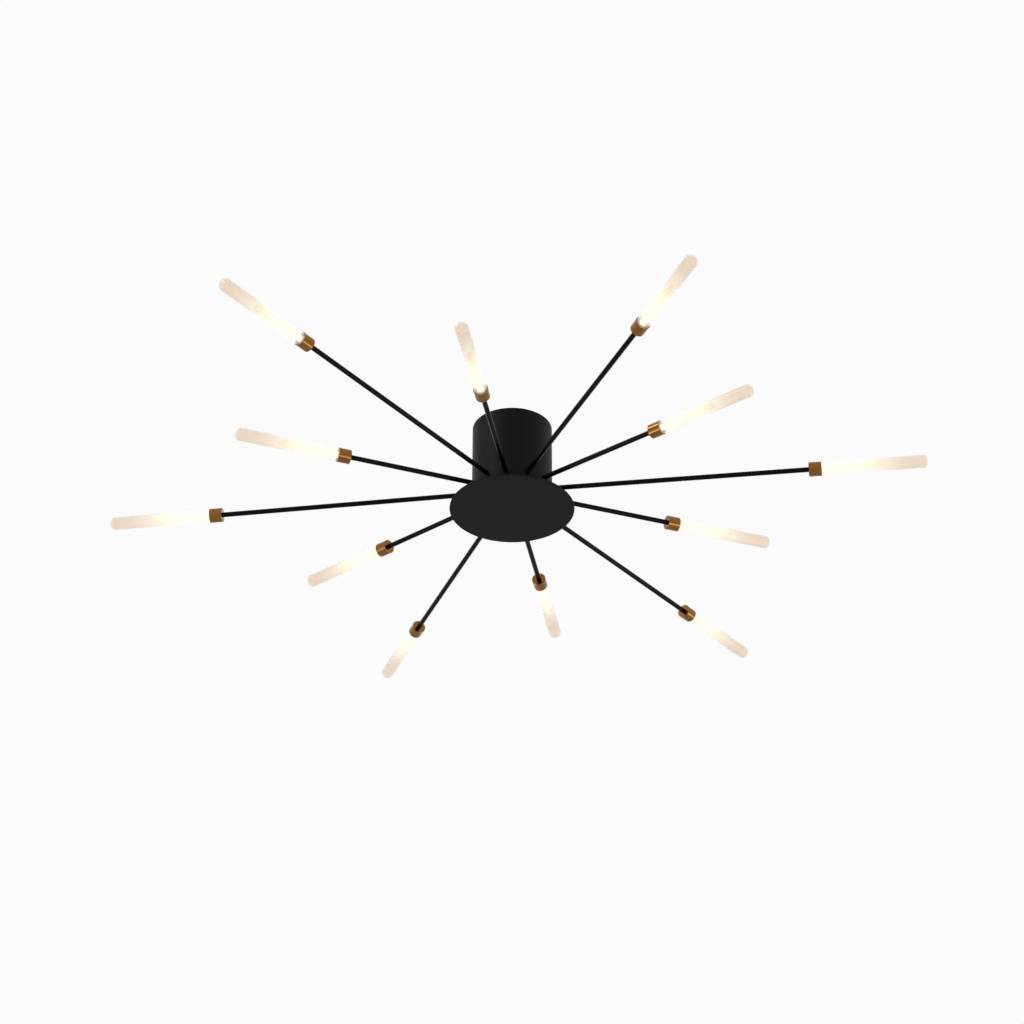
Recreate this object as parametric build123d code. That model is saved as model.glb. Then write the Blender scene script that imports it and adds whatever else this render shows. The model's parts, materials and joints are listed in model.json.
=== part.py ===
from build123d import *
import os
from math import cos, hypot, radians, sin, sqrt

os.makedirs("parts", exist_ok=True)

# A flush ceiling light. A black drum stands on the ceiling and a wider black disc closes it from below.
# Slim black rods stand out of the drum like the rays of a star, long and short by turns. Each rod ends
# in a plain brass cup, which holds a pin lamp inside a frosted tube with a round tip.
#
# Millimetres, +Z up. The ceiling is z = 0, the light hangs below it, and the drum's axis is X = Y = 0.
# Along an arm, distances are measured outwards from the point where the arms' axes meet.

# ---- Driving dimensions: the star ------------------------------------------------------------------

long_reach = 500.0  # middle of the star to the tip of a long arm's tube
short_reach = 347.5  # the same for a short arm
arm_plane_drop = 89.0  # ceiling down to the point where the arms' axes meet
first_arm_azimuth = -9.0  # degrees from +X, seen from above
arm_swing = [0.6, 0.9, 0.5, -0.6, -1.1, -2.6, 0.9, -0.6, -0.9, -0.5, 1.7, 1.4]  # off the even place, degrees
arm_rise = [-0.3, 1.2, -0.5, -0.6, 0.7, 1.4, -0.6, 0.2, 2.8, -0.6, -0.1, 0.6]  # above level, degrees

# ---- Driving dimensions: drum and disc -------------------------------------------------------------

drum_diameter = 97.4
drum_wall = 1.2
drum_corner = 1.0  # outer round where the wall turns into the floor
disc_diameter = 151.0
disc_thickness = 2.0
disc_edge_round = 0.6
body_height = 115.8  # ceiling to the lower face of the disc

# ---- Driving dimensions: hub, studs and nuts -------------------------------------------------------

hub_diameter = 64.0
hub_bore = 48.0
hub_above_arms = 8.0  # the hub's top above the arms' level
spot_face_diameter = 14.0  # flat seat for each lock nut
spot_face_depth = 0.8
lock_nut_flats = 10.0
lock_nut_height = 3.0
stud_diameter = 4.0
stud_circle = 56.0
stud_count = 3
stud_spare_thread = 1.5  # stud left standing above its nut
stud_nut_flats = 7.0
stud_nut_height = 3.2
board_diameter = 64.0
board_thickness = 1.6

# ---- Driving dimensions: arm -----------------------------------------------------------------------

rod_diameter = 6.0
rod_bore = 4.0
rod_past_hub = 1.5  # rod showing inside the hub's bore
cup_diameter = 17.4
cup_length = 15.4
cup_floor = 3.0
cup_edge = 0.3  # chamfer round the closed end
tube_diameter = 15.5
tube_wall = 1.2
tube_showing = 126.0  # tube from the cup's mouth to its tip
tube_in_cup = 9.5
tip_round = 5.5  # round between the tube's side and its closed end
socket_flange_diameter = 14.8
socket_flange_height = 2.0
socket_diameter = 11.6
socket_height = 7.1  # whole socket, flange included
lamp_pin_spacing = 4.0
lamp_pin_diameter = 0.7
lamp_pin_length = 6.5
lamp_base_diameter = 9.4
lamp_base_length = 5.0
lamp_diameter = 8.6
lamp_length = 78.0  # base and glowing stick, without the pins
lamp_tip_round = 3.5
lead_diameter = 2.4
lead_circle = 28.0  # ring on the board where the arms' leads come up
lead_bend = 5.5
lead_above_board = 1.0

# ---- Driving dimensions: ceiling plate and driver --------------------------------------------------

plate_diameter = 84.0
plate_thickness = 2.0
leg_width = 14.0
leg_thickness = 2.5
leg_length = 16.0
ceiling_hole_diameter = 5.0
ceiling_hole_spacing = 60.0
cable_hole_diameter = 9.0
cable_hole_x = 22.0
cable_hole_y = 26.0
side_screw_drop = 10.0  # ceiling down to the screws that hold the drum
side_screw_turn = 24.0  # degrees that each screw is turned back from the drum's side, out of sight
side_screw_diameter = 4.0
side_screw_length = 7.0
side_screw_head_diameter = 7.5
side_screw_head_height = 1.6
driver_length = 60.0
driver_width = 32.0
driver_height = 22.0
driver_corner = 2.0
driver_screw_spacing = 40.0
driver_screw_diameter = 3.0
driver_screw_length = 9.0
driver_screw_head_diameter = 5.6
driver_screw_head_depth = 1.6
driver_cable_diameter = 4.0
driver_gland_diameter = 8.0
driver_gland_height = 4.0

# ---- Fits ------------------------------------------------------------------------------------------

thread_gap = 0.05  # radial, between a thread and its tapped hole
loose_gap = 0.2  # radial, between a bar or screw and the hole it only passes through
tube_gap = 0.08  # radial, push fit of the tube in its cup
pin_gap = 0.08  # radial, lamp pin in its socket
clear_gap = 0.3  # between pieces that must not touch

# ---- Levels and places worked out from the above ---------------------------------------------------

arm_count = len(arm_swing)
arm_pitch = 360 / arm_count
drum_radius = drum_diameter / 2
disc_top = disc_thickness - body_height
hub_bottom = disc_top + drum_wall
hub_top = hub_above_arms - arm_plane_drop
board_top = hub_top + board_thickness
stud_top = board_top + stud_nut_height + stud_spare_thread
driver_top = -plate_thickness
driver_bottom = driver_top - driver_height
leg_outer = sqrt((drum_radius - drum_wall) ** 2 - (leg_width / 2) ** 2) - clear_gap
leg_inner = leg_outer - leg_thickness
lock_nut_seat = hub_diameter / 2 - spot_face_depth
rod_start = hub_bore / 2 - rod_past_hub
socket_top = cup_floor + socket_height
lamp_start = socket_top + clear_gap


# ---- Helpers ---------------------------------------------------------------------------------------


def bar(diameter, start, end):
    """A round bar on the Z axis between two levels."""
    lift = Pos(0, 0, start)
    return lift * Cylinder(diameter / 2, end - start, align=(Align.CENTER, Align.CENTER, Align.MIN))


def pipe(outer, inner, start, end):
    """A round bar with a hole right through it."""
    return bar(outer, start, end) - bar(inner, start, end)


def nut(across_flats, bore, start, height):
    """A hexagon nut on the Z axis."""
    blank = extrude(RegularPolygon(across_flats / 2, 6, major_radius=False), height)
    return Pos(0, 0, start) * blank - bar(bore, start, start + height)


def box_between(low, high):
    """A block between its lowest and highest corners."""
    size = [high[k] - low[k] for k in range(3)]
    return Pos(*low) * Box(*size, align=(Align.MIN, Align.MIN, Align.MIN))


def rounded_bar(diameter, start, end, end_round):
    """A round bar on the Z axis with its far end rounded."""
    blank = bar(diameter, start, end)
    return fillet(blank.edges().group_by(Axis.Z)[-1], end_round)


def arm_axis(index):
    """The directions of one arm: outwards along it, and level across it."""
    azimuth = radians(first_arm_azimuth + arm_pitch * index + arm_swing[index])
    rise = radians(arm_rise[index])
    outward = Vector(cos(azimuth) * cos(rise), sin(azimuth) * cos(rise), sin(rise))
    across = Vector(-sin(azimuth), cos(azimuth), 0)
    return outward, across


def on_arm(index):
    """Place for pieces drawn on the Z axis: turned to lie along an arm, measured from the star's middle."""
    outward, across = arm_axis(index)
    return Plane(origin=(0, 0, -arm_plane_drop), x_dir=across, z_dir=outward).location


def cup_start(index):
    """Where an arm's cup begins. Long and short arms take turns."""
    reach = short_reach if index % 2 else long_reach
    return reach - tube_showing - cup_length


def stud_places():
    """Places of the studs, in the gaps between arms."""
    first = first_arm_azimuth + arm_pitch / 2
    return [Rot(0, 0, first + k * 360 / stud_count) * Pos(stud_circle / 2, 0, 0) for k in range(stud_count)]


def side_turns():
    """Turns about the drum's axis, from +X, that lead to the two side screws."""
    return [Rot(0, 0, side_screw_turn), Rot(0, 0, 180 - side_screw_turn)]


def side_places():
    """Places of the two side screws: local +Z points out of the drum."""
    return [Pos(0, 0, -side_screw_drop) * turn * Rot(0, 90, 0) for turn in side_turns()]


def driver_screw_places():
    """Places of the two driver screws, at the ceiling."""
    return [Pos(side * driver_screw_spacing / 2, 0, 0) for side in (-1, 1)]


# ---- Drum, disc and hub ----------------------------------------------------------------------------


def canopy_drum():
    """Steel drum, open at the ceiling, with a hole in its wall for each rod and each side screw."""
    drum = bar(drum_diameter, disc_top, 0)
    drum = fillet(drum.edges().group_by(Axis.Z)[0], drum_corner)
    drum -= bar(drum_diameter - 2 * drum_wall, hub_bottom, 1)
    for index in range(arm_count):
        drum -= on_arm(index) * bar(rod_diameter + 2 * loose_gap, hub_diameter / 2, drum_diameter)
    for place in side_places():
        drum -= place * bar(side_screw_diameter + 2 * loose_gap, leg_inner, drum_diameter)
    for place in stud_places():
        drum -= place * bar(stud_diameter + 2 * loose_gap, disc_top - 1, hub_bottom + 1)
    return drum


def bottom_disc():
    """Round steel plate with studs welded to its upper face."""
    disc = bar(disc_diameter, -body_height, disc_top)
    disc = fillet(disc.edges(), disc_edge_round)
    for place in stud_places():
        disc += place * bar(stud_diameter, disc_top - disc_thickness / 2, stud_top)
    return disc


def arm_hub():
    """Aluminium ring that the rods screw into, clamped down by the disc's studs."""
    hub = pipe(hub_diameter, hub_bore, hub_bottom, hub_top)
    for index in range(arm_count):
        hub -= on_arm(index) * bar(rod_diameter + 2 * thread_gap, 0, hub_diameter)
        hub -= on_arm(index) * bar(spot_face_diameter, lock_nut_seat, hub_diameter)
    for place in stud_places():
        hub -= place * bar(stud_diameter + 2 * loose_gap, hub_bottom - 1, hub_top + 1)
    return hub


def junction_board():
    """Round circuit board on the hub, where the arms' leads come up and are soldered."""
    board = bar(board_diameter, hub_top, board_top)
    for place in stud_places():
        board -= place * bar(stud_diameter + 2 * loose_gap, hub_top - 1, board_top + 1)
    for index in range(arm_count):
        x, y, _ = lead_corner(index)
        board -= Pos(x, y, 0) * bar(lead_diameter + 2 * loose_gap, hub_top - 1, board_top + 1)
    return board


def stud_nuts():
    """The nuts that clamp disc, drum, hub and board together."""
    one = nut(stud_nut_flats, stud_diameter + 2 * thread_gap, board_top, stud_nut_height)
    return Compound(children=[place * one for place in stud_places()])


# ---- Arms ------------------------------------------------------------------------------------------


def arm_rod(index):
    """Steel tube from inside the hub's bore to the inner face of the cup's floor."""
    return on_arm(index) * pipe(rod_diameter, rod_bore, rod_start, cup_start(index) + cup_floor)


def arm_lock_nuts():
    """One thin nut on each rod, tightened against the hub."""
    one = nut(lock_nut_flats, rod_diameter + 2 * thread_gap, lock_nut_seat, lock_nut_height)
    return Compound(children=[on_arm(index) * one for index in range(arm_count)])


def arm_cup(index):
    """Turned brass cup, tapped in its floor for the rod."""
    cup = bar(cup_diameter, 0, cup_length)
    cup = chamfer(cup.edges().group_by(Axis.Z)[0], cup_edge)
    cup -= bar(tube_diameter + 2 * tube_gap, cup_floor, cup_length + 1)
    cup -= bar(rod_diameter + 2 * thread_gap, -1, cup_floor + 1)
    return on_arm(index) * Pos(0, 0, cup_start(index)) * cup


def lamp_sockets():
    """One ceramic lamp socket on the floor of each cup, with a hole for each pin of the lamp."""
    one = bar(socket_flange_diameter, cup_floor, cup_floor + socket_flange_height)
    one += bar(socket_diameter, cup_floor, socket_top)
    for side in (-1, 1):
        hole = bar(lamp_pin_diameter + 2 * pin_gap, lamp_start - lamp_pin_length - clear_gap, socket_top + 1)
        one -= Pos(side * lamp_pin_spacing / 2, 0, 0) * hole
    return Compound(children=[on_arm(k) * Pos(0, 0, cup_start(k)) * one for k in range(arm_count)])


def diffuser_tube(index):
    """Frosted tube with a round closed tip, pushed into the cup round the socket."""
    length = tube_in_cup + tube_showing
    tube = rounded_bar(tube_diameter, 0, length, tip_round)
    tube -= rounded_bar(tube_diameter - 2 * tube_wall, -1, length - tube_wall, tip_round - tube_wall)
    return on_arm(index) * Pos(0, 0, cup_start(index) + cup_length - tube_in_cup) * tube


def led_lamp(index):
    """Stick lamp with two pins: a base and a slimmer glowing stick with a round end."""
    lamp = bar(lamp_base_diameter, 0, lamp_base_length)
    lamp += rounded_bar(lamp_diameter, lamp_base_length / 2, lamp_length, lamp_tip_round)
    for side in (-1, 1):
        lamp += Pos(side * lamp_pin_spacing / 2, 0, 0) * bar(lamp_pin_diameter, -lamp_pin_length, 1)
    return on_arm(index) * Pos(0, 0, cup_start(index) + lamp_start) * lamp


def lead_corner(index):
    """The point on an arm's axis above which its lead comes up through the board."""
    outward, _ = arm_axis(index)
    along = lead_circle / 2 / hypot(outward.X, outward.Y)
    return Vector(0, 0, -arm_plane_drop) + outward * along


def arm_leads():
    """One two-core lead in each rod, from the back of the socket, turned up into the board."""
    leads = []
    for index in range(arm_count):
        outward, across = arm_axis(index)
        start = Vector(0, 0, -arm_plane_drop) + outward * (cup_start(index) + cup_floor)
        corner = lead_corner(index)
        end = Vector(corner.X, corner.Y, board_top + lead_above_board)
        route = FilletPolyline(start, corner, end, radius=lead_bend)
        section = Plane(origin=start, x_dir=across, z_dir=-outward) * Circle(lead_diameter / 2)
        leads.append(sweep(section, path=route))
    return Compound(children=leads)


# ---- Ceiling plate and driver ----------------------------------------------------------------------


def ceiling_plate():
    """Steel plate screwed to the ceiling, with two legs turned down for the drum's side screws."""
    plate = bar(plate_diameter, -plate_thickness, 0)
    half_leg = leg_width / 2
    for turn in side_turns():
        plate += turn * box_between((0, -half_leg, -plate_thickness), (leg_outer, half_leg, 0))
        plate += turn * box_between((leg_inner, -half_leg, -leg_length), (leg_outer, half_leg, 0))
    for place in side_places():
        plate -= place * bar(side_screw_diameter + 2 * thread_gap, leg_inner - 1, leg_outer + 1)
    for side in (-1, 1):
        hole = bar(ceiling_hole_diameter, -plate_thickness - 1, 1)
        plate -= Pos(0, side * ceiling_hole_spacing / 2, 0) * hole
    plate -= Pos(cable_hole_x, cable_hole_y, 0) * bar(cable_hole_diameter, -plate_thickness - 1, 1)
    for place in driver_screw_places():
        plate -= place * bar(driver_screw_diameter + 2 * loose_gap, -plate_thickness - 1, 1)
        plate -= place * driver_screw_head(loose_gap)
    return plate


def driver_screw_head(gap):
    """Countersunk head, flush with the ceiling side of the plate. Its seat is larger by the gap."""
    top = driver_screw_head_diameter / 2 + gap
    bottom = driver_screw_diameter / 2 + gap
    return Pos(0, 0, -driver_screw_head_depth / 2) * Cone(bottom, top, driver_screw_head_depth)


def driver_screws():
    """The screws that hold the driver under the plate."""
    one = bar(driver_screw_diameter, -driver_screw_length, -driver_screw_head_depth / 2) + driver_screw_head(0)
    return Compound(children=[place * one for place in driver_screw_places()])


def canopy_screws():
    """The two side screws that hold the drum to the plate's legs."""
    shank = bar(side_screw_diameter, drum_radius - side_screw_length, drum_radius + side_screw_head_height / 2)
    head = bar(side_screw_head_diameter, drum_radius, drum_radius + side_screw_head_height)
    head = fillet(head.edges().group_by(Axis.Z)[-1], side_screw_head_height / 3)
    return Compound(children=[place * (shank + head) for place in side_places()])


def led_driver():
    """Lamp driver hung under the plate, with its own output cable down to the board."""
    half_length = driver_length / 2
    half_width = driver_width / 2
    case = box_between((-half_length, -half_width, driver_bottom), (half_length, half_width, driver_top))
    case = fillet(case.edges().filter_by(Axis.Z) + case.edges().group_by(Axis.Z)[0], driver_corner)
    case += bar(driver_gland_diameter, driver_bottom - driver_gland_height, driver_bottom + 1)
    case += bar(driver_cable_diameter, board_top, driver_bottom)
    for place in driver_screw_places():
        case -= place * bar(driver_screw_diameter + 2 * thread_gap, -driver_screw_length - 1, 1)
    return case


# ---- Write every piece -----------------------------------------------------------------------------

pieces = {
    "canopy_drum": canopy_drum(),
    "bottom_disc": bottom_disc(),
    "arm_hub": arm_hub(),
    "junction_board": junction_board(),
    "stud_nuts": stud_nuts(),
    "arm_lock_nuts": arm_lock_nuts(),
    "lamp_sockets": lamp_sockets(),
    "arm_leads": arm_leads(),
    "ceiling_plate": ceiling_plate(),
    "driver_screws": driver_screws(),
    "canopy_screws": canopy_screws(),
    "led_driver": led_driver(),
}
for index in range(arm_count):
    number = f"{index + 1:02d}"
    pieces["arm_rod_" + number] = arm_rod(index)
    pieces["arm_cup_" + number] = arm_cup(index)
    pieces["diffuser_tube_" + number] = diffuser_tube(index)
    pieces["led_lamp_" + number] = led_lamp(index)

for name, piece in pieces.items():
    export_step(piece, f"parts/{name}.step")
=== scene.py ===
# %% [markdown]
# # A flush star ceiling light, dressed for its picture
#
# This file is a lesson in cells. It takes the finished parts of a ceiling light, loads them as a fixed
# frame, and gives every part the surface that the real one has. Read it from top to bottom: each step
# first says what the real thing is and how it could be made, and then makes it.
#
# All lengths are in metres, because that is what Blender counts in. The ceiling is z = 0, +Z points up into
# it, and the light hangs below.

# %% Load the frame
import json
import math

import bpy
from mathutils import Matrix, Vector


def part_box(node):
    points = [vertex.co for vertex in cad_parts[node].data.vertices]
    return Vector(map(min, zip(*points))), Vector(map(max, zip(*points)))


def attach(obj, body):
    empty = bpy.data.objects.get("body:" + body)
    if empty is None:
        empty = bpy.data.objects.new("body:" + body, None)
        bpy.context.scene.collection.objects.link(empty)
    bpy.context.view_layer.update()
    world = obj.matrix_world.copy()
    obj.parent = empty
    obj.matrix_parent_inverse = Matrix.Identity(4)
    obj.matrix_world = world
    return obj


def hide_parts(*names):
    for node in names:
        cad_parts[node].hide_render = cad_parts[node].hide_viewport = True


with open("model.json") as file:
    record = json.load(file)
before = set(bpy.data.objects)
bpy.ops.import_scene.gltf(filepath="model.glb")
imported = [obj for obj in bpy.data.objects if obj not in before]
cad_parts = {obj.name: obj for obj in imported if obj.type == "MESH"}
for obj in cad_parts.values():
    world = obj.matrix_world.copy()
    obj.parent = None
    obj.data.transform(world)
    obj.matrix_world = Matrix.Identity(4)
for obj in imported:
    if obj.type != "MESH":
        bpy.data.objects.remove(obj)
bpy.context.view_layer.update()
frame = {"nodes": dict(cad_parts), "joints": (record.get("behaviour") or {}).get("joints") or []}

MM = 0.001
nodes = frame["nodes"]
print("parts in the frame:", len(nodes))

# %% [markdown]
# ## Two small helpers
#
# Colours are written as six hex digits, the way a paint shop or a web page writes them. Blender works with
# linear light, so one function turns the first into the second. The other helper adds a node to a tree, sets
# its properties and connects its sockets, so that a material or a shape reads as a short list of steps.

# %% Colour and node helpers


def linear(hex_colour):
    """sRGB hex to Blender's linear colour, with full alpha."""
    channels = [int(hex_colour[k:k + 2], 16) / 255 for k in (1, 3, 5)]
    return (*[c / 12.92 if c <= 0.04045 else ((c + 0.055) / 1.055) ** 2.4 for c in channels], 1.0)


def add(tree, kind, inputs=None, **settings):
    """Adds one node. An input is given a value, or an output socket to take it from."""
    node = tree.nodes.new(kind)
    for name, value in settings.items():
        setattr(node, name, value)
    for key, value in (inputs or {}).items():
        if isinstance(value, bpy.types.NodeSocket):
            tree.links.new(value, node.inputs[key])
        else:
            node.inputs[key].default_value = value
    return node


print("mid grey in linear light:", [round(c, 3) for c in linear("#808080")[:3]])

# %% [markdown]
# ## Where each arm runs
#
# The rods stand out like rays, but none is perfectly level or evenly spaced. The frame already knows each
# arm's direction: it is the way its tube slides off. The middle of a rod's box is a point on the rod's axis.
# Following the axis back to the drum's middle gives the point where all arms meet, and any other part can
# then be measured along its arm from there.

# %% Measure the arms
slides = {joint["name"]: Vector(joint["axis"]).normalized() for joint in frame["joints"]}
arms = sorted(name[-2:] for name in nodes if name.startswith("arm_rod_"))
outward = {arm: slides["pull_tube_" + arm] for arm in arms}


def box_middle(node):
    """The middle of a part's box."""
    low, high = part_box(node)
    return (Vector(low) + Vector(high)) / 2


def meeting_point(arm):
    """The point of an arm's axis that is nearest to the drum's axis."""
    middle, axis = box_middle("arm_rod_" + arm), outward[arm]
    return middle - axis * (middle.xy.dot(axis.xy) / axis.xy.length_squared)


star_middle = sum((meeting_point(arm) for arm in arms), Vector()) / len(arms)


def reach_along(node, arm):
    """Where a part starts and ends along its arm, measured from the star's middle."""
    steps = [(vertex.co - star_middle).dot(outward[arm]) for vertex in nodes[node].data.vertices]
    return min(steps), max(steps)


def round_points(node, arm):
    """Each corner of a round part: how far along the arm it lies, and how far from the arm's axis."""
    steps = [vertex.co - star_middle for vertex in nodes[node].data.vertices]
    alongs = [step.dot(outward[arm]) for step in steps]
    return [(along, (step - outward[arm] * along).length) for step, along in zip(steps, alongs)]


def arm_place(arm, along):
    """The place of something drawn upright on Z: turned to lie along an arm, at a distance from the middle."""
    level = Vector((0, 0, 1)).cross(outward[arm]).normalized()
    turned = Matrix((level, outward[arm].cross(level), outward[arm])).transposed().to_4x4()
    return Matrix.Translation(star_middle + outward[arm] * along) @ turned


print("arms:", len(arms), "star's middle:", [round(c * 1000, 2) for c in star_middle], "mm")
print("tube 01 runs from and to:", [round(c * 1000, 1) for c in reach_along("diffuser_tube_01", "01")], "mm")

# %% [markdown]
# ## The camera
#
# The picture is taken from below and in front, from about three metres away with a long lens, so that the
# star looks flat and wide. The camera's height angle, distance and lens were matched by comparing where the
# rods and cups fall in the picture. The camera aims a little below the star's middle and is rolled by a
# fifth of a degree.

# %% Place the camera
CAMERA_DISTANCE = 3.2985
CAMERA_BELOW = math.radians(32.87)
CAMERA_AIM = math.radians(0.4425)
CAMERA_ROLL = math.radians(0.20)
LENS_PIXELS = 2720.0
IMAGE_PIXELS = 1024
FARTHEST_SEEN = 100

away = Vector((0, -math.cos(CAMERA_BELOW), -math.sin(CAMERA_BELOW)))
side = Vector((1, 0, 0))
upwards = away.cross(side)
turned_away = away * math.cos(CAMERA_AIM) + upwards * math.sin(CAMERA_AIM)
tilted_up = turned_away.cross(side)
rolled_side = side * math.cos(CAMERA_ROLL) + tilted_up * math.sin(CAMERA_ROLL)
rolled_up = turned_away.cross(rolled_side)

camera = bpy.data.objects.new("camera", bpy.data.cameras.new("camera"))
bpy.context.scene.collection.objects.link(camera)
bpy.context.scene.camera = camera
camera.data.lens = LENS_PIXELS / IMAGE_PIXELS * camera.data.sensor_width
camera.data.clip_end = FARTHEST_SEEN
camera.matrix_world = (
    Matrix.Translation(star_middle + away * CAMERA_DISTANCE)
    @ Matrix((rolled_side, rolled_up, turned_away)).transposed().to_4x4()
)
print("lens:", round(camera.data.lens, 1), "mm, camera at", [round(c, 2) for c in camera.matrix_world.translation])

# %% [markdown]
# ## The studio
#
# The light hangs in a white studio, and nothing of the ceiling shows. The camera sees a white sheet all round,
# and so does every ray that was mirrored by metal or has passed through a frosted tube. The sheet lights the
# object less than it shows, because the soft boxes below add their share.
#
# What the world shows depends on the ray that meets it, so it is left to those rays: it isn't also searched for
# light from every point, which would see only the soft light. The floor needs the same choice, so a helper makes
# it: it says which rays see the pale background.

# %% Which rays see the background


def background_rays(tree):
    """1 for a ray that comes from the camera, from a mirroring surface or through a tube, and 0 for others."""
    rays = add(tree, "ShaderNodeLightPath").outputs
    seen = add(tree, "ShaderNodeMath", {0: rays["Is Camera Ray"], 1: rays["Is Glossy Ray"]}, operation="MAXIMUM")
    seen = add(tree, "ShaderNodeMath", {0: seen.outputs[0], 1: rays["Is Transmission Ray"]}, operation="MAXIMUM")
    return seen.outputs[0]


print("background helper ready")

# %% The white sheet
BACKGROUND = "#fbfbfb"
SKY_LIGHT = 0.4

bpy.context.scene.view_settings.view_transform = "Standard"
world = bpy.data.worlds.new("white studio")
bpy.context.scene.world = world
world.use_nodes = True
world.cycles.sampling_method = "NONE"
sky = world.node_tree
sky.nodes.clear()
soft_light = add(sky, "ShaderNodeBackground", {"Color": linear("#ffffff"), "Strength": SKY_LIGHT})
sheet = add(sky, "ShaderNodeBackground", {"Color": linear(BACKGROUND), "Strength": 1.0})
choice = add(sky, "ShaderNodeMixShader", {0: background_rays(sky), 1: soft_light.outputs[0], 2: sheet.outputs[0]})
add(sky, "ShaderNodeOutputWorld", {"Surface": choice.outputs[0]})
print("sky strength on the object:", SKY_LIGHT)

# %% [markdown]
# Four soft boxes stand round the light. Three of them, low on the left, on the right and in front, draw the
# bright stripes along the brass cups. The key, high on the left, gives the drum its lighter left third. The
# camera doesn't see them, and neither does a ray through a tube.

# %% Soft boxes
# name: place, width and height in metres, and watts
SOFT_BOXES = {
    "key": ((-2.3, -1.4, 1.7), 1.2, 1.2, 24),
    "left stripe": ((-2.1, -0.45, -1.5), 0.8, 1.7, 18),
    "right stripe": ((2.1, 0.3, -1.5), 1.1, 1.7, 20),
    "front stripe": ((1.43, -1.35, -1.78), 1.1, 1.1, 12),
}


def soft_box(name, place, width, height, watts):
    """A soft box that faces the star's middle and lights without being seen directly."""
    data = bpy.data.lights.new(name, "AREA")
    data.shape = "RECTANGLE"
    data.size = width
    data.size_y = height
    data.energy = watts
    lamp = bpy.data.objects.new(name, data)
    bpy.context.scene.collection.objects.link(lamp)
    lamp.location = place
    lamp.rotation_euler = (star_middle - Vector(place)).to_track_quat("-Z", "Y").to_euler()
    lamp.visible_camera = False
    lamp.visible_transmission = False


for name, box in SOFT_BOXES.items():
    soft_box(name, *box)
print("soft boxes:", list(SOFT_BOXES))

# %% [markdown]
# The floor lies far below, so that it never hides the light from a low camera. It is a plain pale floor.

# %% Floor
FLOOR_LEVEL = -4.5
FLOOR_RADIUS = 24.0
FLOOR_CORNERS = 48

floor_mesh = bpy.data.meshes.new("floor")
turns = [k * math.tau / FLOOR_CORNERS for k in range(FLOOR_CORNERS)]
rim = [(FLOOR_RADIUS * math.cos(turn), FLOOR_RADIUS * math.sin(turn), FLOOR_LEVEL) for turn in turns]
floor_mesh.from_pydata(rim, [], [list(range(FLOOR_CORNERS))])
floor = bpy.data.objects.new("floor", floor_mesh)
bpy.context.scene.collection.objects.link(floor)
print("floor at", FLOOR_LEVEL, "m")

# %% [markdown]
# ## Starting a material
#
# Every finish starts from the same surface shader and reads the part's own coordinates in metres. A pattern
# size is always written in millimetres, and turned into the number that Blender wants: how many fit a metre.

# %% Material helpers


def finish(name, **surface_values):
    """A new material: its tree, its surface shader, and the coordinates that patterns read."""
    material = bpy.data.materials.new(name)
    material.use_nodes = True
    tree = material.node_tree
    tree.nodes.clear()
    surface = add(tree, "ShaderNodeBsdfPrincipled")
    for key, value in surface_values.items():
        surface.inputs[key.replace("_", " ")].default_value = value
    add(tree, "ShaderNodeOutputMaterial", {"Surface": surface.outputs[0]})
    place = add(tree, "ShaderNodeTexCoord").outputs["Object"]
    return material, tree, surface, place


def glows_softly(material):
    """A weak glow is left to the rays that meet it. Looking for it from every point would only add noise."""
    material.cycles.emission_sampling = "NONE"


def per_metre(millimetres):
    """How many of something this wide fit a metre."""
    return 1000 / millimetres


def paint_part(node, material):
    """Gives a carried-over part one material."""
    nodes[node].data.materials.clear()
    nodes[node].data.materials.append(material)


# %% [markdown]
# ### The floor: matt studio paint
#
# A plain pale floor, rolled with matt paint. Faint clouds in its lightness keep it from looking like a hole. The
# same rays that see the sheet see the floor lifted towards its white, and it still takes a shadow.

# %% Floor finish
FLOOR_LIFT = 0.8

studio_paint, tree, surface, place = finish("matt studio paint", Roughness=0.9)
clouds = add(tree, "ShaderNodeTexNoise", {"Vector": place, "Scale": per_metre(900), "Detail": 3.0})
tint = add(tree, "ShaderNodeMix", {"Factor": clouds.outputs["Fac"], "A": linear("#cac8c5"), "B": linear("#d2d0cd")},
           data_type="RGBA")
lift = add(tree, "ShaderNodeMath", {0: background_rays(tree), 1: FLOOR_LIFT}, operation="MULTIPLY")
tree.links.new(tint.outputs["Result"], surface.inputs["Base Color"])
tree.links.new(tint.outputs["Result"], surface.inputs["Emission Color"])
tree.links.new(lift.outputs[0], surface.inputs["Emission Strength"])
glows_softly(studio_paint)
floor_mesh.materials.append(studio_paint)
print("floor finished")

# %% [markdown]
# ### Drum and disc: black powder coat on steel
#
# The drum and the disc are pressed steel, powder coated: the powder melts in an oven into a skin with a very
# fine orange peel. It is nearly black, takes only a dull sheen, and turns lighter where it is seen at a
# grazing angle. A thin cloud of roughness breaks up the sheen.
#
# The tints are matched to the picture, and so is the specular level: it is far below the usual 0.5, because what
# the coat mirrors here is a white studio. Both parts wear the same coat. The disc's tint is painted a little lighter
# and browner than the drum's wall as painted light, because the disc faces down to the light from below.

# %% Powder coat
COAT_SHEEN = 0.08
# The disc's pair of tints is painted light: a lighter, browner copy of the drum's coat.
COATS = {"canopy_drum": ("#080707", "#0c0b0a"), "bottom_disc": ("#0f0d0a", "#15120e")}

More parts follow.
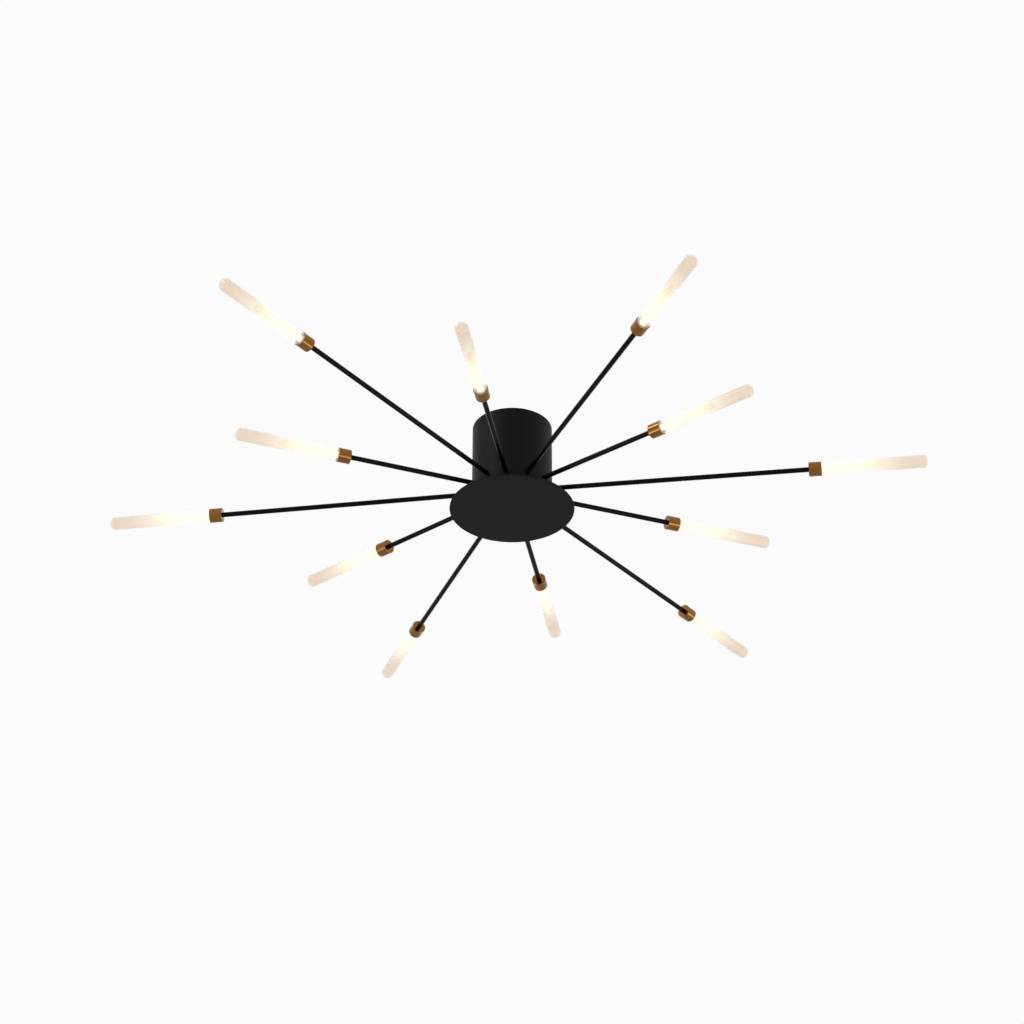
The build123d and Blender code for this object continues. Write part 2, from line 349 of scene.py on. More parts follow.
for node, (dark, light) in COATS.items():
    powder_coat, tree, surface, place = finish("black powder coat", Roughness=0.5, Specular_IOR_Level=COAT_SHEEN)
    peel = add(tree, "ShaderNodeTexNoise", {"Vector": place, "Scale": per_metre(1.4), "Detail": 2.0})
    clouds = add(tree, "ShaderNodeTexNoise", {"Vector": place, "Scale": per_metre(38), "Detail": 3.0})
    tint = add(tree, "ShaderNodeMix", {"Factor": clouds.outputs["Fac"], "A": linear(dark), "B": linear(light)},
               data_type="RGBA")
    dull = add(tree, "ShaderNodeMapRange", {"Value": clouds.outputs["Fac"], "To Min": 0.46, "To Max": 0.56})
    skin = add(tree, "ShaderNodeBump", {"Height": peel.outputs["Fac"], "Strength": 0.5, "Distance": 0.03 * MM})
    tree.links.new(tint.outputs["Result"], surface.inputs["Base Color"])
    tree.links.new(dull.outputs[0], surface.inputs["Roughness"])
    tree.links.new(skin.outputs[0], surface.inputs["Normal"])
    paint_part(node, powder_coat)
print("powder coat on", list(COATS))

# %% [markdown]
# ### Rods: satin black lacquer on drawn tube
#
# The rods are drawn steel tube, so their surface is smoother than the pressed sheet, and the black lacquer
# on them is smoother than the powder coat. Its specular level is matched to the picture too.

# %% Rod lacquer
LACQUER_SHEEN = 0.06

rod_lacquer, tree, surface, place = finish("satin black lacquer", Roughness=0.22, Specular_IOR_Level=LACQUER_SHEEN)
dust = add(tree, "ShaderNodeTexNoise", {"Vector": place, "Scale": per_metre(22), "Detail": 4.0})
tint = add(tree, "ShaderNodeMix", {"Factor": dust.outputs["Fac"], "A": linear("#060505"), "B": linear("#0a0908")},
           data_type="RGBA")
dull = add(tree, "ShaderNodeMapRange", {"Value": dust.outputs["Fac"], "To Min": 0.18, "To Max": 0.26})
tree.links.new(tint.outputs["Result"], surface.inputs["Base Color"])
tree.links.new(dull.outputs[0], surface.inputs["Roughness"])
for arm in arms:
    paint_part("arm_rod_" + arm, rod_lacquer)
print("lacquer on the rods")

# %% [markdown]
# ### Cups: turned brass
#
# Each cup is turned from brass bar, and the tool leaves fine rings round it. The picture shows a brown brass,
# darker than fresh metal, and the colours are matched to that: partly the brass's own aged brown, partly painted
# shade for the dim surroundings that the real cups mirror, since here they mirror a white studio. All arms meet in
# one point, so the distance from that point rises almost evenly along every arm, and rings in that distance are
# rings round every cup at once. A real feed of 0.15 mm is too fine to show, so the rings are 1 mm apart, and faint.

# %% Turned brass
RING_SPACING = 1  # millimetres, as per_metre takes it

brass, tree, surface, place = finish("turned brass", Metallic=1.0, Roughness=0.17)
from_middle = add(tree, "ShaderNodeVectorMath", {0: place, 1: star_middle}, operation="DISTANCE")
rings = add(tree, "ShaderNodeMath", {0: from_middle.outputs["Value"], 1: math.tau * per_metre(RING_SPACING)},
            operation="MULTIPLY")
rings = add(tree, "ShaderNodeMath", {0: rings.outputs[0]}, operation="SINE")
tarnish = add(tree, "ShaderNodeTexNoise", {"Vector": place, "Scale": per_metre(7), "Detail": 4.0})
# Both tints are painted darker than brass: painted shade for dim mirrored surroundings, over the brass's own brown.
tint = add(tree, "ShaderNodeMix", {"Factor": tarnish.outputs["Fac"], "A": linear("#6e4a22"), "B": linear("#906632")},
           data_type="RGBA")
dull = add(tree, "ShaderNodeMapRange", {"Value": tarnish.outputs["Fac"], "To Min": 0.13, "To Max": 0.21})
cut = add(tree, "ShaderNodeBump", {"Height": rings.outputs[0], "Strength": 0.3, "Distance": 0.002 * MM})
tree.links.new(tint.outputs["Result"], surface.inputs["Base Color"])
tree.links.new(dull.outputs[0], surface.inputs["Roughness"])
tree.links.new(cut.outputs[0], surface.inputs["Normal"])
for arm in arms:
    paint_part("arm_cup_" + arm, brass)
print("brass on the cups")

# %% [markdown]
# ### Tubes: sandblasted acrylic
#
# The tubes are clear acrylic, blasted with fine grit from outside, so that they scatter what shines through them.
# Their bore stays clear. The lamp inside reaches only part of the way, and the outer third is a plain milky tube.
# Between the two the glow fades out and turns warmer. A frosted wall scatters light inside itself. That isn't
# modelled: in its place the wall has a painted glow, a little light of its own, less and less along the tube. The
# base colour is painted light too: nearly white near the lamp, where the wall is lit, and warmer towards the end.
#
# The lathe further down writes two attributes on what it turns, in metres: height, the distance from the
# piece's own start, and radius, the distance from its axis. The glow of the wall follows the height, and the
# radius tells the blasted skin from the clear bore. The grit is about a tenth of a millimetre, too fine to show
# as bumps, so it is drawn as faint clouds of roughness a millimetre wide.
#
# Clear acrylic has an index of 1.49. The index here is lower, not because the material's is, but because it keeps
# the rims as soft as in the picture and the render less noisy. Light bounces many times between the skins before
# it gets out, so the scene allows more bounces than usual.

# %% Frosted acrylic
PICTURE_INDEX = 1.33
PAINTED_LIT_TINT = "#fbf9f4"
GLOW_STARTS_TO_FADE = 52 * MM
GLOW_ENDS = 120 * MM
FULL_PAINTED_WALL_GLOW = 0.06
LEAST_PAINTED_WALL_GLOW = 0.02
CLEAR_BORE = 0.05
BETWEEN_BORE_AND_SKIN = (7.0 * MM, 7.3 * MM)
TUBE_BOUNCES = 32

bpy.context.scene.cycles.max_bounces = TUBE_BOUNCES
bpy.context.scene.cycles.transmission_bounces = TUBE_BOUNCES
bpy.context.scene.cycles.glossy_bounces = TUBE_BOUNCES // 2

frosted, tree, surface, place = finish("sandblasted acrylic", Transmission_Weight=1.0, IOR=PICTURE_INDEX)
grit = add(tree, "ShaderNodeTexNoise", {"Vector": place, "Scale": per_metre(1), "Detail": 2.0})
haze = add(tree, "ShaderNodeTexNoise", {"Vector": place, "Scale": per_metre(30), "Detail": 2.0})
milky = add(tree, "ShaderNodeMix", {"Factor": haze.outputs["Fac"], "A": linear("#f2e7db"), "B": linear("#f6ece1")},
            data_type="RGBA")
dull = add(tree, "ShaderNodeMapRange", {"Value": grit.outputs["Fac"], "To Min": 0.24, "To Max": 0.34})
radius = add(tree, "ShaderNodeAttribute", attribute_name="radius")
rough = add(tree, "ShaderNodeMapRange", {"Value": radius.outputs["Fac"], "From Min": BETWEEN_BORE_AND_SKIN[0],
                                         "From Max": BETWEEN_BORE_AND_SKIN[1], "To Min": CLEAR_BORE,
                                         "To Max": dull.outputs[0]})
height = add(tree, "ShaderNodeAttribute", attribute_name="height")
# Painted glow: the wall's emission and its paler base colour near the lamp stand in for lamp light scattered in the
# wall.
away_from_lamp = add(tree, "ShaderNodeMapRange", {"Value": height.outputs["Fac"], "From Min": GLOW_STARTS_TO_FADE,
                                                  "From Max": GLOW_ENDS}, interpolation_type="SMOOTHSTEP")
glow = add(tree, "ShaderNodeMapRange", {"Value": away_from_lamp.outputs[0], "To Min": FULL_PAINTED_WALL_GLOW,
                                        "To Max": LEAST_PAINTED_WALL_GLOW})
painted_glow_warmth = add(tree, "ShaderNodeMix", {"Factor": away_from_lamp.outputs[0], "A": linear("#fff8ea"),
                                     "B": linear("#ffe6c4")}, data_type="RGBA")
tint = add(tree, "ShaderNodeMix", {"Factor": away_from_lamp.outputs[0], "A": linear(PAINTED_LIT_TINT),
                                   "B": milky.outputs["Result"]}, data_type="RGBA")
tree.links.new(tint.outputs["Result"], surface.inputs["Base Color"])
tree.links.new(rough.outputs[0], surface.inputs["Roughness"])
tree.links.new(painted_glow_warmth.outputs["Result"], surface.inputs["Emission Color"])
tree.links.new(glow.outputs[0], surface.inputs["Emission Strength"])
glows_softly(frosted)
print("frosted acrylic mixed")

# %% [markdown]
# ### Lamps: silicone, phosphor, plastic and tinned pins
#
# A stick lamp is a slim bar full of tiny light chips, dipped in milky silicone. The silicone glows softly and
# the chips show through it as yellower squares. Towards the tip the glow sinks and turns warmer, as it does in
# the picture. The lamp's base is heat-proof white plastic, with two tinned pins.

# %% Lamp finishes
FULL_GLOW = 0.35
TIP_GLOW = 0.25
GLOW_SINKS_FROM = 28 * MM
GLOW_SINKS_TO = 78 * MM
TIP_LIGHT = "#ffe9cb"
CHIPS_BRIGHTER_BY = 1.1


def sinking_glow(tree, surface, cloud, brightest, palest, full, least):
    """Lets a glow sink and turn warmer towards the lamp's tip."""
    height = add(tree, "ShaderNodeAttribute", attribute_name="height")
    sunk = add(tree, "ShaderNodeMapRange", {"Value": height.outputs["Fac"], "From Min": GLOW_SINKS_FROM,
                                            "From Max": GLOW_SINKS_TO}, interpolation_type="SMOOTHSTEP")
    glow = add(tree, "ShaderNodeMapRange", {"Value": sunk.outputs[0], "To Min": full, "To Max": least})
    tint = add(tree, "ShaderNodeMix", {"Factor": cloud, "A": linear(brightest), "B": linear(palest)}, data_type="RGBA")
    warmer = add(tree, "ShaderNodeMix", {"Factor": sunk.outputs[0], "A": tint.outputs["Result"],
                                         "B": linear(TIP_LIGHT)}, data_type="RGBA")
    tree.links.new(tint.outputs["Result"], surface.inputs["Base Color"])
    tree.links.new(warmer.outputs["Result"], surface.inputs["Emission Color"])
    tree.links.new(glow.outputs[0], surface.inputs["Emission Strength"])


silicone, tree, surface, place = finish("glowing silicone", Roughness=0.45)
depth = add(tree, "ShaderNodeTexNoise", {"Vector": place, "Scale": per_metre(2.5), "Detail": 1.0})
sinking_glow(tree, surface, depth.outputs["Fac"], "#fff9ee", "#fffbf3", FULL_GLOW, TIP_GLOW)

phosphor, tree, surface, place = finish("lit phosphor", Roughness=0.6)
grains = add(tree, "ShaderNodeTexNoise", {"Vector": place, "Scale": per_metre(0.3), "Detail": 1.0})
sinking_glow(tree, surface, grains.outputs["Fac"], "#ffefcf", "#fff3da", FULL_GLOW * CHIPS_BRIGHTER_BY,
             TIP_GLOW * CHIPS_BRIGHTER_BY)

for material in (silicone, phosphor):
    glows_softly(material)

lamp_plastic, tree, surface, place = finish("heat-proof white plastic", Roughness=0.45)
cast = add(tree, "ShaderNodeTexNoise", {"Vector": place, "Scale": per_metre(3), "Detail": 2.0})
tint = add(tree, "ShaderNodeMix", {"Factor": cast.outputs["Fac"], "A": linear("#ddd9cf"), "B": linear("#e8e4da")},
           data_type="RGBA")
tree.links.new(tint.outputs["Result"], surface.inputs["Base Color"])

tinned, tree, surface, place = finish("tinned copper", Metallic=1.0, Roughness=0.3)
cast = add(tree, "ShaderNodeTexNoise", {"Vector": place, "Scale": per_metre(1), "Detail": 2.0})
tint = add(tree, "ShaderNodeMix", {"Factor": cast.outputs["Fac"], "A": linear("#b9b7b2"), "B": linear("#d2d0ca")},
           data_type="RGBA")
tree.links.new(tint.outputs["Result"], surface.inputs["Base Color"])
print("lamp finishes mixed")

# %% [markdown]
# ## A lathe made of nodes
#
# Tubes and lamps are round about an axis, so a lathe makes them: a profile, drawn once as a line of
# points in the XZ plane, is swept round a circle. Drawing corners with arcs by hand is tedious, so a helper
# rounds them. The node tree turns the line flat, sweeps it, welds the seam and the ends on the axis, writes
# each point's height and radius as attributes and keeps true corners sharp.

# %% Profile helper


def rounded_profile(corners, steps=8):
    """Points of a line through corners of (radius, height, round), each rounded by an arc."""
    points = []
    for k, (radius, height, bend) in enumerate(corners):
        here = Vector((radius, height))
        if not bend:
            points.append(here)
            continue
        before = (Vector(corners[k - 1][:2]) - here).normalized()
        after = (Vector(corners[k + 1][:2]) - here).normalized()
        half = before.angle(after) / 2
        centre = here + (before + after).normalized() * (bend / math.sin(half))
        first = here + before * (bend / math.tan(half)) - centre
        turn = first.angle_signed(here + after * (bend / math.tan(half)) - centre)
        points += [centre + Matrix.Rotation(-turn * s / steps, 2) @ first for s in range(steps + 1)]
    return points


print("a square corner rounded in 2 steps:", [tuple(round(c, 2) for c in p) for p in
                                              rounded_profile([(0, 1, 0), (1, 1, 0.5), (1, 0, 0)], 2)])

# %% Lathe tree
WELD_DISTANCE = 0.001 * MM
SHARPEST_SMOOTH_EDGE = math.radians(35)


def shape_tree(name, sockets):
    """A new shape tree with named inputs, given as (name, kind, value)."""
    tree = bpy.data.node_groups.new(name, "GeometryNodeTree")
    for label, kind, value in sockets:
        socket = tree.interface.new_socket(label, in_out="INPUT", socket_type="NodeSocket" + kind)
        if value is not None:
            socket.default_value = value
    tree.interface.new_socket("Shape", in_out="OUTPUT", socket_type="NodeSocketGeometry")
    return tree, tree.nodes.new("NodeGroupInput").outputs, tree.nodes.new("NodeGroupOutput").inputs


lathe, given, made = shape_tree("lathe", [
    ("Profile", "Geometry", None), ("Rail radius", "Float", 0.005), ("Segments", "Int", 48),
    ("Finish", "Material", None),
])
shift = add(lathe, "ShaderNodeMath", {0: given["Rail radius"], 1: -1.0}, operation="MULTIPLY")
shift = add(lathe, "ShaderNodeCombineXYZ", {"X": shift.outputs[0]})
flat = add(lathe, "GeometryNodeTransform", {"Geometry": given["Profile"], "Translation": shift.outputs[0],
                                            "Rotation": (math.pi / 2, 0, 0)})
line = add(lathe, "GeometryNodeMeshToCurve", {"Mesh": flat.outputs[0]})
rail = add(lathe, "GeometryNodeCurvePrimitiveCircle", {"Resolution": given["Segments"], "Radius": given["Rail radius"]})
swept = add(lathe, "GeometryNodeCurveToMesh", {"Curve": rail.outputs["Curve"], "Profile Curve": line.outputs[0]})
welded = add(lathe, "GeometryNodeMergeByDistance", {"Geometry": swept.outputs[0], "Distance": WELD_DISTANCE})
position = add(lathe, "ShaderNodeSeparateXYZ", {0: lathe.nodes.new("GeometryNodeInputPosition").outputs[0]})
marked = add(lathe, "GeometryNodeStoreNamedAttribute", {"Geometry": welded.outputs[0], "Name": "height",
                                                        "Value": position.outputs["Z"]},
             data_type="FLOAT", domain="POINT")
level = add(lathe, "ShaderNodeCombineXYZ", {"X": position.outputs["X"], "Y": position.outputs["Y"]})
from_axis = add(lathe, "ShaderNodeVectorMath", {0: level.outputs[0]}, operation="LENGTH")
marked = add(lathe, "GeometryNodeStoreNamedAttribute", {"Geometry": marked.outputs[0], "Name": "radius",
                                                        "Value": from_axis.outputs["Value"]},
             data_type="FLOAT", domain="POINT")
angle = add(lathe, "GeometryNodeInputMeshEdgeAngle")
corner = add(lathe, "FunctionNodeCompare", {"A": angle.outputs["Unsigned Angle"], "B": SHARPEST_SMOOTH_EDGE},
             data_type="FLOAT", operation="GREATER_THAN")
smooth = add(lathe, "GeometryNodeSetShadeSmooth", {"Geometry": marked.outputs[0], "Shade Smooth": True})
creased = add(lathe, "GeometryNodeSetShadeSmooth", {"Geometry": smooth.outputs[0], "Selection": corner.outputs[0],
                                                    "Shade Smooth": False}, domain="EDGE")
whole = add(lathe, "GeometryNodeRealizeInstances", {"Geometry": creased.outputs[0]})
finished = add(lathe, "GeometryNodeSetMaterial", {"Geometry": whole.outputs[0], "Material": given["Finish"]})
lathe.links.new(finished.outputs[0], made["Shape"])
print("lathe tree:", len(lathe.nodes), "nodes")

# %% [markdown]
# A tree only works on an object. The next helper puts a mesh on a passing object, runs the tree on it with
# the values that it is given, and keeps the plain mesh that comes out. So no live modifier is left on a piece.

# %% Running a tree


def run_tree(tree, mesh, **values):
    """The plain mesh that a shape tree makes from a mesh. Values are given by the input's name."""
    helper = bpy.data.objects.new("helper", mesh)
    bpy.context.scene.collection.objects.link(helper)
    step = helper.modifiers.new("shape", "NODES")
    step.node_group = tree
    for socket in tree.interface.items_tree:
        if socket.in_out == "INPUT" and socket.name.replace(" ", "_") in values:
            step[socket.identifier] = values[socket.name.replace(" ", "_")]
    graph = bpy.context.evaluated_depsgraph_get()
    result = bpy.data.meshes.new_from_object(helper.evaluated_get(graph))
    helper.modifiers.remove(step)
    bpy.data.objects.remove(helper)
    for slot in reversed(range(len(result.materials))):
        if result.materials[slot] is None:
            result.materials.pop(index=slot)
    return result


def turned(corners, material, segments=48, steps=8):
    """A mesh turned on the lathe from the corners of its profile."""
    points = [(p.x, 0, p.y) for p in rounded_profile(corners, steps)]
    outline = bpy.data.meshes.new("outline")
    outline.from_pydata(points, [(k, k + 1) for k in range(len(points) - 1)], [])
    return run_tree(lathe, outline, Rail_radius=max(p[0] for p in points), Segments=segments, Finish=material)


def set_out(name, mesh, body, slot, *replaced):
    """Makes a finished mesh a piece of the object, in place of the parts that it stands for."""
    piece = bpy.data.objects.new(name, mesh)
    bpy.context.scene.collection.objects.link(piece)
    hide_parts(*replaced)
    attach(piece, body)
    return piece


print("test disc:", len(turned([(0, 1, 0), (1, 1, 0.2), (1, 0, 0), (0, 0, 0)], brass).polygons), "faces")

# %% [markdown]
# ## The frosted tubes
#
# A tube is a thin wall with a flattened dome at its end and an open mouth, melted a little round where it
# was cut. Its profile runs from the tip down the outside, round the lip and back up the inside, so that the
# turned tube is one closed skin with a real wall thickness, which light needs to bend as it does in acrylic.
# All twelve are alike, so one mesh is turned and then placed on each arm.

# %% Turn the tubes
TIP_ROUND = 5.5 * MM
LIP_ROUND = 0.35 * MM

mouth, tip = reach_along("diffuser_tube_01", "01")
length = tip - mouth
lip = [radius for along, radius in round_points("diffuser_tube_01", "01") if along < mouth + 0.1 * MM]
outer, inner = max(lip), min(lip)
wall = outer - inner
tube_mesh = turned([
    (0, length, 0),
    (outer, length, TIP_ROUND),
    (outer, 0, LIP_ROUND),
    (inner, 0, LIP_ROUND),
    (inner, length - wall, TIP_ROUND - wall),
    (0, length - wall, 0),
], frosted, segments=64, steps=12)
for arm in arms:
    mesh = tube_mesh.copy()
    mesh.transform(arm_place(arm, reach_along("diffuser_tube_" + arm, arm)[0]))
    set_out("frosted_tube_" + arm, mesh, "tube_" + arm, "frosted_tube", "diffuser_tube_" + arm)
print("tube:", [round(size / MM, 2) for size in (length, outer, wall)], "mm,", len(tube_mesh.polygons), "faces each")

# %% [markdown]
# ## The stick lamps
#
# The lamp's base and stick are turned. The chips are what repeats: rows of small square plates round the
# stick. A second tree sets one plate out along a line, then sets that row out round the axis.

# %% Chip tree
PLATE_TOP_SHARE = 0.86
PLATE_THICKNESS = 0.4 * MM

chips, given, made = shape_tree("chip rows", [
    ("Stick", "Geometry", None), ("Rows", "Int", 4), ("Chips", "Int", 14), ("Pitch", "Float", 0.005),
    ("First", "Float", 0.01), ("Radius", "Float", 0.004), ("Width", "Float", 0.003), ("Finish", "Material", None),
])
plate_width = add(chips, "ShaderNodeMath", {0: given["Width"], 1: math.sqrt(0.5)}, operation="MULTIPLY")
plate_top = add(chips, "ShaderNodeMath", {0: plate_width.outputs[0], 1: PLATE_TOP_SHARE}, operation="MULTIPLY")
plate = add(chips, "GeometryNodeMeshCone", {"Vertices": 4, "Radius Top": plate_top.outputs[0],
                                            "Radius Bottom": plate_width.outputs[0], "Depth": PLATE_THICKNESS})
plate = add(chips, "GeometryNodeTransform", {"Geometry": plate.outputs["Mesh"], "Rotation": (0, 0, math.pi / 4)})
plate = add(chips, "GeometryNodeTransform", {"Geometry": plate.outputs[0], "Rotation": (0, math.pi / 2, 0)})
start = add(chips, "ShaderNodeCombineXYZ", {"X": given["Radius"], "Z": given["First"]})
step = add(chips, "ShaderNodeCombineXYZ", {"Z": given["Pitch"]})
line = add(chips, "GeometryNodeMeshLine", {"Count": given["Chips"], "Start Location": start.outputs[0],
                                           "Offset": step.outputs[0]})
row = add(chips, "GeometryNodeInstanceOnPoints", {"Points": line.outputs[0], "Instance": plate.outputs[0]})
spots = add(chips, "GeometryNodeMeshLine", {"Count": given["Rows"], "Offset": (0, 0, 0)})
number = add(chips, "GeometryNodeInputIndex")
share = add(chips, "ShaderNodeMath", {0: math.tau, 1: given["Rows"]}, operation="DIVIDE")
turn = add(chips, "ShaderNodeMath", {0: number.outputs[0], 1: share.outputs[0]}, operation="MULTIPLY")
turn = add(chips, "ShaderNodeCombineXYZ", {"Z": turn.outputs[0]})
ring = add(chips, "GeometryNodeInstanceOnPoints", {"Points": spots.outputs[0], "Instance": row.outputs[0],
                                                   "Rotation": turn.outputs[0]})
whole = add(chips, "GeometryNodeRealizeInstances", {"Geometry": ring.outputs[0]})
position = add(chips, "ShaderNodeSeparateXYZ", {0: chips.nodes.new("GeometryNodeInputPosition").outputs[0]})
marked = add(chips, "GeometryNodeStoreNamedAttribute", {"Geometry": whole.outputs[0], "Name": "height",
                                                        "Value": position.outputs["Z"]},
             data_type="FLOAT", domain="POINT")
finished = add(chips, "GeometryNodeSetMaterial", {"Geometry": marked.outputs[0], "Material": given["Finish"]})
joined = add(chips, "GeometryNodeJoinGeometry")
for part in (finished.outputs[0], given["Stick"]):
    chips.links.new(part, joined.inputs[0])
chips.links.new(joined.outputs[0], made["Shape"])
print("chip tree:", len(chips.nodes), "nodes")

# %% [markdown]
# A piece of several turned parts is one mesh in the end. The next helper joins meshes and keeps each part's
# own material.

# %% Join helper


def joined_mesh(name, parts):
    """One mesh of several, each given with its place."""
    helpers = []
    for mesh, place in parts:
        copy = mesh.copy()
        copy.transform(place)
        helpers.append(bpy.data.objects.new("helper", copy))
        bpy.context.scene.collection.objects.link(helpers[-1])
    with bpy.context.temp_override(active_object=helpers[0], selected_editable_objects=helpers):
        bpy.ops.object.join()
    mesh = helpers[0].data
    mesh.name = name
    bpy.data.objects.remove(helpers[0])
    return mesh


upright = Matrix.Identity(4)
print("join helper ready")

# %% [markdown]
# The frame's plain lamp says how long and how thick each part is. Sorted by how far they lie from the axis, its
# corners belong to the pins, the stick and the base: the base is all that is thicker than the stick.

# %% Measure the lamp
STICK_RADIUS = 4.3 * MM
STICK_ROUND = 3.5 * MM
PIN_RADIUS = 0.35 * MM
PIN_SPACING = 4 * MM
PIN_SUNK = 0.5 * MM
CLEARLY_THICKER = 0.1 * MM

corners = round_points("led_lamp_01", "01")
thick = [along for along, radius in corners if radius > STICK_RADIUS + CLEARLY_THICKER]
base_start = min(thick)
base_radius = max(radius for along, radius in corners)
base_length = max(thick) - base_start
stick_end = max(along for along, radius in corners) - base_start
pin_length = base_start - min(along for along, radius in corners)
print("base, stick's end and pins:", [round(size / MM, 2) for size in (base_length, stick_end, pin_length)], "mm")

# %% Turn the lamps
CHIP_WIDTH = 2.8 * MM
CHIP_PITCH = 4.6 * MM
CHIP_ROWS = 4
FIRST_CHIP = 3 * MM
CHIP_SUNK = 0.05 * MM
GROOVE_DEPTH = 0.4 * MM
GROOVE_MOUTH = 0.45 * MM
GROOVE_FLOOR = 0.25 * MM
GROOVE_PLACE = 0.6
BASE_ROUND_TOP = 0.5 * MM
BASE_ROUND_FOOT = 0.4 * MM
PIN_ROUND = 0.2 * MM

chip_count = int((stick_end - base_length - 2 * FIRST_CHIP) / CHIP_PITCH) + 1
groove = base_length * GROOVE_PLACE
stick = turned([
    (0, stick_end, 0),
    (STICK_RADIUS, stick_end, STICK_ROUND),
    (STICK_RADIUS, base_length, 0),
    (0, base_length, 0),
], silicone, segments=32)
stick = run_tree(chips, stick, Rows=CHIP_ROWS, Chips=chip_count, Pitch=CHIP_PITCH, First=base_length + FIRST_CHIP,
                 Radius=STICK_RADIUS - CHIP_SUNK, Width=CHIP_WIDTH, Finish=phosphor)
base = turned([
    (0, base_length, 0),
    (base_radius, base_length, BASE_ROUND_TOP),
    (base_radius, groove + GROOVE_MOUTH, 0),
    (base_radius - GROOVE_DEPTH, groove + GROOVE_FLOOR, 0),
    (base_radius - GROOVE_DEPTH, groove - GROOVE_FLOOR, 0),
    (base_radius, groove - GROOVE_MOUTH, 0),
    (base_radius, 0, BASE_ROUND_FOOT),
    (0, 0, 0),
], lamp_plastic, segments=32)
pin = turned([
    (0, PIN_SUNK, 0),
    (PIN_RADIUS, PIN_SUNK, 0),
    (PIN_RADIUS, -pin_length, PIN_ROUND),
    (0, -pin_length, 0),
], tinned, segments=12, steps=3)
pins = [(pin, Matrix.Translation((hand * PIN_SPACING / 2, 0, 0))) for hand in (-1, 1)]
lamp_mesh = joined_mesh("stick_lamp", [(stick, upright), (base, upright)] + pins)
for arm in arms:
    mesh = lamp_mesh.copy()
    mesh.transform(arm_place(arm, reach_along("led_lamp_" + arm, arm)[0] + pin_length))
    set_out("stick_lamp_" + arm, mesh, "lamp_" + arm, "lamp", "led_lamp_" + arm)
print("lamp faces:", len(lamp_mesh.polygons), "materials:", [m.name for m in lamp_mesh.materials])

# %% [markdown]
# ## Inside the drum and the cups
#
# Little of this shows from the room, but the parts are real and get real finishes: zinc-plated steel for the
# ceiling plate and the small hardware, aluminium for the turned hub, a green circuit board, ceramic sockets,
# a white plastic driver and silicone leads.

# %% Zinc plate and aluminium
zinc, tree, surface, place = finish("zinc-plated steel", Metallic=1.0, Roughness=0.38)
spangle = add(tree, "ShaderNodeTexVoronoi", {"Vector": place, "Scale": per_metre(4)})
tint = add(tree, "ShaderNodeMix", {"Factor": spangle.outputs["Distance"], "A": linear("#a9adb2"),
                                   "B": linear("#c6c8cb")}, data_type="RGBA")
dull = add(tree, "ShaderNodeMapRange", {"Value": spangle.outputs["Distance"], "To Min": 0.3, "To Max": 0.5})
tree.links.new(tint.outputs["Result"], surface.inputs["Base Color"])
tree.links.new(dull.outputs[0], surface.inputs["Roughness"])
for node in ("ceiling_plate", "stud_nuts", "arm_lock_nuts", "driver_screws"):
    paint_part(node, zinc)

aluminium, tree, surface, place = finish("turned aluminium", Metallic=1.0, Roughness=0.35)
flat_place = add(tree, "ShaderNodeVectorMath", {0: place, 1: (1, 1, 0)}, operation="MULTIPLY")
from_axis = add(tree, "ShaderNodeVectorMath", {0: flat_place.outputs[0]}, operation="LENGTH")
rings = add(tree, "ShaderNodeMath", {0: from_axis.outputs["Value"], 1: math.tau * per_metre(0.6)},
            operation="MULTIPLY")
rings = add(tree, "ShaderNodeMath", {0: rings.outputs[0]}, operation="SINE")
cut = add(tree, "ShaderNodeBump", {"Height": rings.outputs[0], "Strength": 0.4, "Distance": 0.01 * MM})
cast = add(tree, "ShaderNodeTexNoise", {"Vector": place, "Scale": per_metre(9), "Detail": 3.0})
tint = add(tree, "ShaderNodeMix", {"Factor": cast.outputs["Fac"], "A": linear("#b8babd"), "B": linear("#cccdd0")},
           data_type="RGBA")
tree.links.new(tint.outputs["Result"], surface.inputs["Base Color"])
tree.links.new(cut.outputs[0], surface.inputs["Normal"])
paint_part("arm_hub", aluminium)
print("metal parts finished")

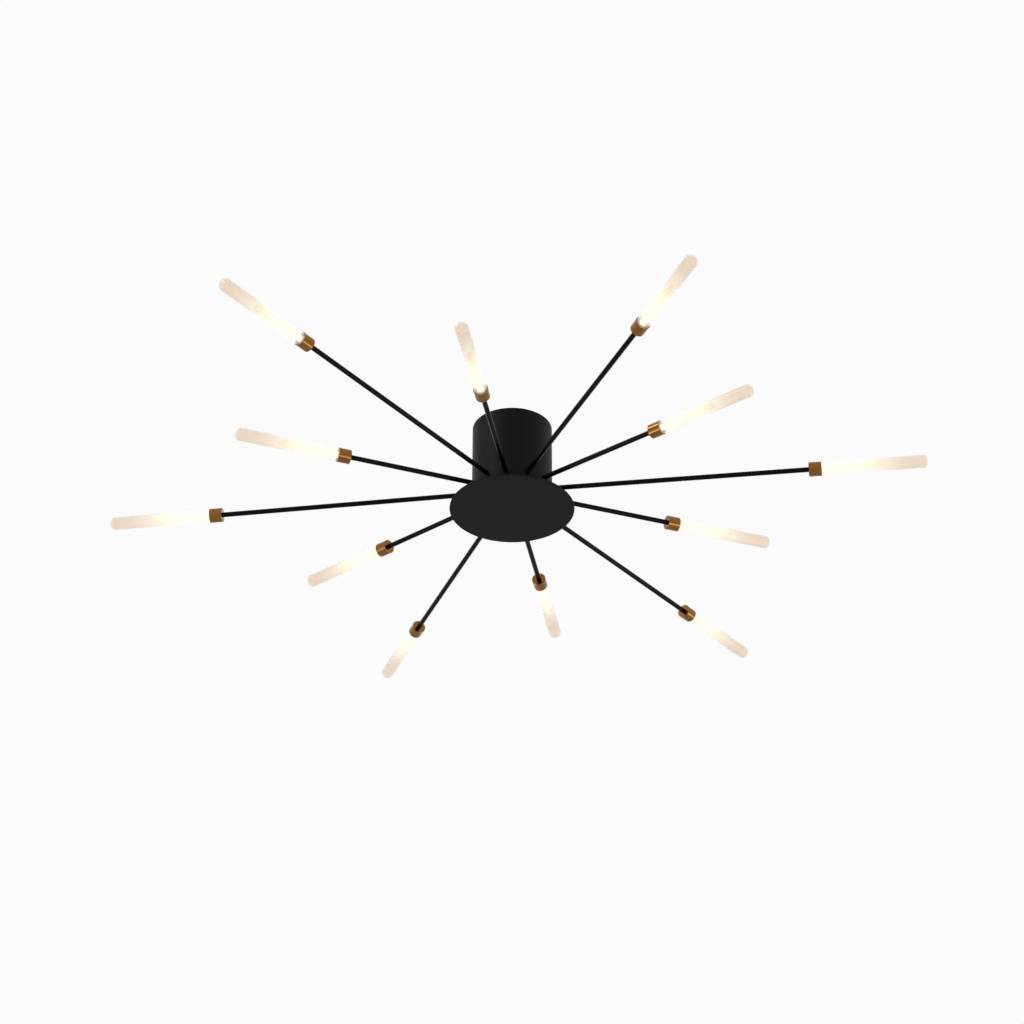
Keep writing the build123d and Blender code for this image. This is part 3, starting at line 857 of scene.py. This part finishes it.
# %% Ceramic, board, case and leads
ceramic, tree, surface, place = finish("unglazed ceramic", Roughness=0.65)
grain = add(tree, "ShaderNodeTexNoise", {"Vector": place, "Scale": per_metre(0.6), "Detail": 3.0})
tint = add(tree, "ShaderNodeMix", {"Factor": grain.outputs["Fac"], "A": linear("#d9d2c4"), "B": linear("#e9e4d9")},
           data_type="RGBA")
tree.links.new(tint.outputs["Result"], surface.inputs["Base Color"])
paint_part("lamp_sockets", ceramic)

solder_mask, tree, surface, place = finish("green solder mask", Roughness=0.35)
tracks = add(tree, "ShaderNodeTexVoronoi", {"Vector": place, "Scale": per_metre(6)}, feature="DISTANCE_TO_EDGE")
edge = add(tree, "ShaderNodeMath", {0: tracks.outputs["Distance"], 1: 0.06}, operation="LESS_THAN")
tint = add(tree, "ShaderNodeMix", {"Factor": edge.outputs[0], "A": linear("#2a6a44"), "B": linear("#17452c")},
           data_type="RGBA")
tree.links.new(tint.outputs["Result"], surface.inputs["Base Color"])
paint_part("junction_board", solder_mask)

case_plastic, tree, surface, place = finish("moulded polycarbonate", Roughness=0.48)
spark = add(tree, "ShaderNodeTexNoise", {"Vector": place, "Scale": per_metre(0.7), "Detail": 2.0})
tint = add(tree, "ShaderNodeMix", {"Factor": spark.outputs["Fac"], "A": linear("#d6d5d0"), "B": linear("#e2e1dc")},
           data_type="RGBA")
texture = add(tree, "ShaderNodeBump", {"Height": spark.outputs["Fac"], "Strength": 0.5, "Distance": 0.02 * MM})
tree.links.new(tint.outputs["Result"], surface.inputs["Base Color"])
tree.links.new(texture.outputs[0], surface.inputs["Normal"])
paint_part("led_driver", case_plastic)

sheath, tree, surface, place = finish("silicone sheath", Roughness=0.55)
wipe = add(tree, "ShaderNodeTexNoise", {"Vector": place, "Scale": per_metre(14), "Detail": 2.0})
tint = add(tree, "ShaderNodeMix", {"Factor": wipe.outputs["Fac"], "A": linear("#d8d6d0"), "B": linear("#e6e4de")},
           data_type="RGBA")
tree.links.new(tint.outputs["Result"], surface.inputs["Base Color"])
paint_part("arm_leads", sheath)
paint_part("canopy_screws", nodes["canopy_drum"].data.materials[0])
print("inner parts finished")
